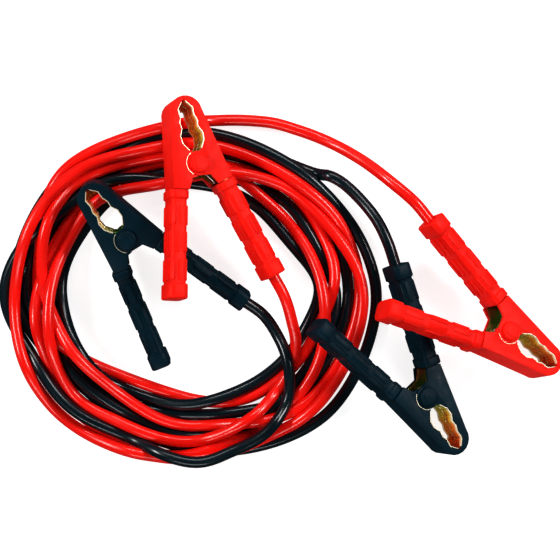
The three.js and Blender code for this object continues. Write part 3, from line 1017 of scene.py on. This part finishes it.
for name in CLAMPS:
    at = clamp_matrix(name)
    for half, side, body, metal in halves(name):
        edge = scallop_line(side, RIM_FROM, RIM_TO)
        lines = [(edge, [point + Vector((side * RIM_WIDTH, 0, 0)) for point in edge])]
        if half == "free":
            lines.append([pivot_arc(side, radius) for radius in ARC_RADII])
        spans = ((metal - RIM_FOOT, RIM_TOP), (-RIM_TOP, RIM_FOOT - metal))
        shapes = [upright_band(*pair, *span) for pair in lines for span in spans]
        shapes.append(tube(np.array(scallop_line(side, RIM_FROM, TEETH_TO)), RIB_RADIUS, RIB_SIDES))
        plate = tip_plate(side)
        points, faces = merged([plate, *shapes])
        made = mesh_object(name + "_" + half + "_jaw_rim", [at @ point for point in points], faces, ZINC)
        # The tip plate keeps the plated film; the edge bands and the rib get the painted highlight colour
        made.data.materials.append(RIM_HIGHLIGHT_PAINT)
        for polygon in made.data.polygons:
            polygon.material_index = 0 if polygon.index < len(plate[1]) else 1
        tidy_faces(made.data)
        store_clamp_place(made.data, at)
        placed_on(made, body, "jaw_metal")
print("rims have", len(made.data.polygons), "faces each")

# %% [markdown]
# ## Caps over the pin
#
# A cap is a turned shape: its profile goes once round the pin's line. The raised land on top is a rounded
# rectangle, lofted like the sleeves, with a soft upper edge. The pin keeps its CAD shape and only gets its
# metal.

# %% Caps
SEAT = COVER_THICKNESS / 2 + TOUCH_GAP
CAP_SIDES = 48
# Radius, then height above the seat, in millimetres
CAP_PROFILE = [(10, 0), (10, 2.1), (9.8, 2.8), (9.3, 3.4), (8.6, 3.7), (7, 3.95), (4, 4), (1.5, 4)]
LAND_WIDTH, LAND_LENGTH, LAND_ROUNDING, LAND_PROUD = 10.5 * MM, 13 * MM, 2.6 * MM, 0.7 * MM


def rounded_rectangle(width, length, rounding, height, corner=6):
    points = []
    for sx, sy, start in ((1, 1, 0), (-1, 1, 90), (-1, -1, 180), (1, -1, 270)):
        for step in range(corner):
            angle = math.radians(start + 90 * step / (corner - 1))
            points.append(Vector((sx * (width / 2 - rounding) + rounding * math.cos(angle),
                                  sy * (length / 2 - rounding) + rounding * math.sin(angle), height)))
    return points


def cap(name, at, end, material):
    rings = []
    for radius, height in CAP_PROFILE:
        rings.append([Vector((radius * MM * math.cos(2 * math.pi * k / CAP_SIDES),
                              radius * MM * math.sin(2 * math.pi * k / CAP_SIDES), SEAT + height * MM))
                      for k in range(CAP_SIDES)])
    points, faces = loft(rings, True, True)
    top = SEAT + CAP_HEIGHT
    insets = ((-0.6 * MM, 0), (LAND_PROUD * 0.6, 0), (LAND_PROUD * 0.9, 0.3 * MM), (LAND_PROUD, 0.8 * MM))
    land = [rounded_rectangle(LAND_WIDTH - 2 * inset, LAND_LENGTH - 2 * inset, LAND_ROUNDING - inset, top + height)
            for height, inset in insets]
    points, faces = merged([(points, faces), loft(land, True, True)])
    flip = Matrix.Identity(4) if end > 0 else Matrix.Rotation(math.pi, 4, "Y")
    made = mesh_object(name, [at @ flip @ point for point in points], faces, material)
    tidy_faces(made.data)
    smooth(made.data, 40)
    return made


for name in CLAMPS:
    colour = name.split("_")[0]
    at = clamp_matrix(name)
    for label, end in (("top", 1), ("bottom", -1)):
        made = cap(name + "_" + label + "_boss", at, end, PLASTIC[colour])
        placed_on(made, ROOT, colour + "_plastic", name + "_" + label + "_cap")
    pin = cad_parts[name + "_pin"]
    pin.data.materials.clear()
    pin.data.materials.append(STEEL)

# %% [markdown]
# ## Springs
#
# The spring is a helix round the pin with two straight legs that press the handles apart. A Spiral node
# gives the helix and Curve to Mesh gives it its wire. The legs are short tubes in the clamp's own frame,
# and the one that presses on the free half turns with it.

# %% Springs
LEG_LENGTH = 30 * MM
LEG_INSET = 4 * MM
LEG_HEIGHT_SHARE = 0.96
WIRE_SIDES = 10


def spring_tree():
    tree, given = new_geometry_tree("helix_wire", [
        ("Turns", "NodeSocketFloat"), ("Radius", "NodeSocketFloat"), ("Height", "NodeSocketFloat"),
        ("Wire Radius", "NodeSocketFloat"), ("Material", "NodeSocketMaterial")])
    helix = node(tree, "GeometryNodeCurveSpiral", {"Resolution": 28, "Rotations": given["Turns"],
                                                   "Start Radius": given["Radius"], "End Radius": given["Radius"],
                                                   "Height": given["Height"]})
    round_wire = node(tree, "GeometryNodeCurvePrimitiveCircle", {"Resolution": WIRE_SIDES,
                                                                    "Radius": given["Wire Radius"]})
    wire = node(tree, "GeometryNodeCurveToMesh", {"Curve": helix.outputs["Curve"],
                                                  "Profile Curve": round_wire.outputs["Curve"], "Fill Caps": True})
    return end_tree(tree, wire.outputs["Mesh"], given["Material"])


SPRING_TREE = spring_tree()

for name in CLAMPS:
    at = clamp_matrix(name)
    middle_line = SPRING_RADIUS - SPRING_WIRE / 2
    height = 2 * (INNER_METAL - METAL_THICKNESS) - SPRING_WIRE
    helix = with_tree(line_object(name + "_wound_spring", [], False), SPRING_TREE, {
        "Turns": float(SPRING_TURNS), "Radius": middle_line, "Height": height, "Wire Radius": SPRING_WIRE / 2,
        "Material": STEEL})
    helix.data.transform(at @ Matrix.Translation((0, 0, -height / 2)))
    for side, end in ((1, -1), (-1, 1)):
        foot = handle_point(side, GRIP_START, -LEG_INSET)
        direction = (foot - Vector((side * middle_line, 0, 0))).normalized()
        start = Vector((side * middle_line, 0, end * LEG_HEIGHT_SHARE * height / 2))
        line = [at @ (start + direction * LEG_LENGTH * share) for share in (0, 0.5, 1)]
        points, faces = tube(np.array(line), SPRING_WIRE / 2, WIRE_SIDES)
        leg = mesh_object(name + "_free_spring_leg", points, faces, STEEL)
        if side == CLAMPS[name][2]:
            joined(helix, leg)
        else:
            tidy_faces(leg.data)
            smooth(leg.data, 50)
            placed_on(leg, name + "_free_half", "steel")
    tidy_faces(helix.data)
    smooth(helix.data, 50)
    placed_on(helix, ROOT, "steel", name + "_spring")
print("springs have", SPRING_TURNS, "turns")

# %% [markdown]
# ## Stage, lights and camera
#
# The set lies on a bright white sweep and is seen from straight above. The floor glows a little, so it
# stays white and the shadows under the cables stay soft, but no glossy face mirrors it. Long narrow lights
# at the sides give the thin bright streaks on the glossy sheath, while little light comes from above, where
# flat faces would mirror it.

# %% Stage
VIEW_HEIGHT = 1.642
VIEW_MIDDLE = COIL_MIDDLE + Vector((0.0932, 0.0108, 0))

FLOOR_REACH = 20
floor_points = [(FLOOR_REACH * x, FLOOR_REACH * y, 0) for x, y in ((-1, -1), (1, -1), (1, 1), (-1, 1))]
white = new_material("white_sweep", Base_Color=(0.4, 0.4, 0.4, 1), Roughness=0.9,
                     Emission_Color=(1, 1, 1, 1), Emission_Strength=0.85)[0]
floor = mesh_object("floor", floor_points, [[0, 1, 2, 3]], white)
floor.visible_glossy = False

world = bpy.data.worlds.new("studio")
bpy.context.scene.world = world
world.use_nodes = True
world.node_tree.nodes["Background"].inputs["Color"].default_value = (1, 1, 1, 1)
world.node_tree.nodes["Background"].inputs["Strength"].default_value = 0.04


def area_light(name, place, aim, size, power):
    light = bpy.data.lights.new(name, "AREA")
    light.shape = "RECTANGLE"
    light.size, light.size_y = size
    light.energy = power
    made = bpy.data.objects.new(name, light)
    made.location = VIEW_MIDDLE + Vector(place)
    made.rotation_euler = (Vector(aim) - Vector(place)).to_track_quat("-Z", "Y").to_euler()
    bpy.context.scene.collection.objects.link(made)


area_light("left_window", (-1.6, 0.4, 1.5), (0, 0, 0), (1.0, 0.3), 27)
area_light("right_window", (1.6, 0.6, 1.5), (0, 0, 0), (1.0, 0.3), 27)
area_light("back_window", (0.2, 1.7, 1.4), (0, 0, 0), (1.6, 0.2), 19)
area_light("front_window", (-0.3, -1.7, 1.5), (0, 0, 0), (1.6, 0.2), 16)

lens = bpy.data.cameras.new("camera")
lens.lens = 100
lens.sensor_width = 36
lens.clip_start = 0.05
lens.clip_end = 20
camera = bpy.data.objects.new("camera", lens)
camera.location = VIEW_MIDDLE + Vector((0, 0, VIEW_HEIGHT))
bpy.context.scene.collection.objects.link(camera)
bpy.context.scene.camera = camera
bpy.context.scene.view_settings.view_transform = "Standard"
bpy.context.scene.view_settings.gamma = 0.85
